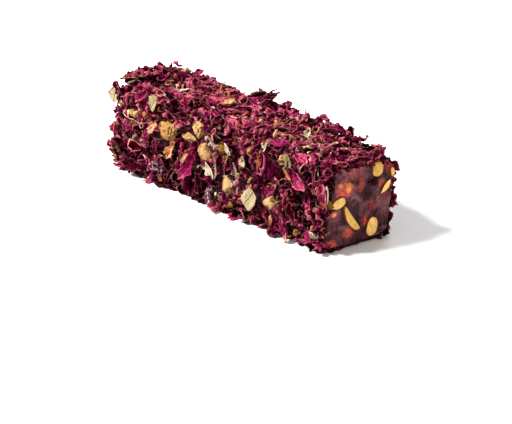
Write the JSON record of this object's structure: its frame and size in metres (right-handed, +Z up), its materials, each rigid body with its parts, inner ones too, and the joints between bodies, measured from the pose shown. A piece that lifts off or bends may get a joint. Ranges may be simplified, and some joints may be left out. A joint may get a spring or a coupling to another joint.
{
  "type": "turkish delight bar",
  "caption": "Cut bar of dark red rose jelly with sliced pistachio kernels, coated on its long sides with dried rose petals.",
  "frame": {"origin": "middle of the underside, on the surface that the bar rests on", "axes": "+X along the bar towards the front cut face, +Y towards the steeper long side, +Z up"},
  "size_m": [0.1302, 0.0438, 0.0371],
  "materials": {
    "jelly": "semi-gloss, slightly see-through starch jelly with a dull bloom on the cut",
    "rose_petals": "matte dried petals with pale tan bases and edges",
    "pistachio": "satin nut flesh, pale yellow where sliced"
  },
  "bodies": {
    "root": {"jelly": "jelly", "petal_coat": "rose_petals", "kernel_front_round_top": "pistachio", "kernel_front_wedge_right": "pistachio", "kernel_front_rim_right": "pistachio", "kernel_front_left": "pistachio", "kernel_front_crescent": "pistachio", "kernel_front_oval_foot": "pistachio", "kernel_back_upper": "pistachio", "kernel_back_slice": "pistachio", "kernel_back_middle": "pistachio", "kernel_back_low_rear": "pistachio", "kernel_back_low_front": "pistachio", "kernel_coat_front_chunk": "pistachio", "kernel_coat_front_oval": "pistachio", "kernel_coat_front_upper": "pistachio", "kernel_coat_front_sliver": "pistachio", "kernel_coat_front_low": "pistachio", "kernel_coat_front_arch": "pistachio", "kernel_coat_front_chip": "pistachio", "kernel_coat_rear_chunk": "pistachio", "kernel_coat_rear_oval": "pistachio", "kernel_coat_rear_high": "pistachio"}
  },
  "joints": []
}
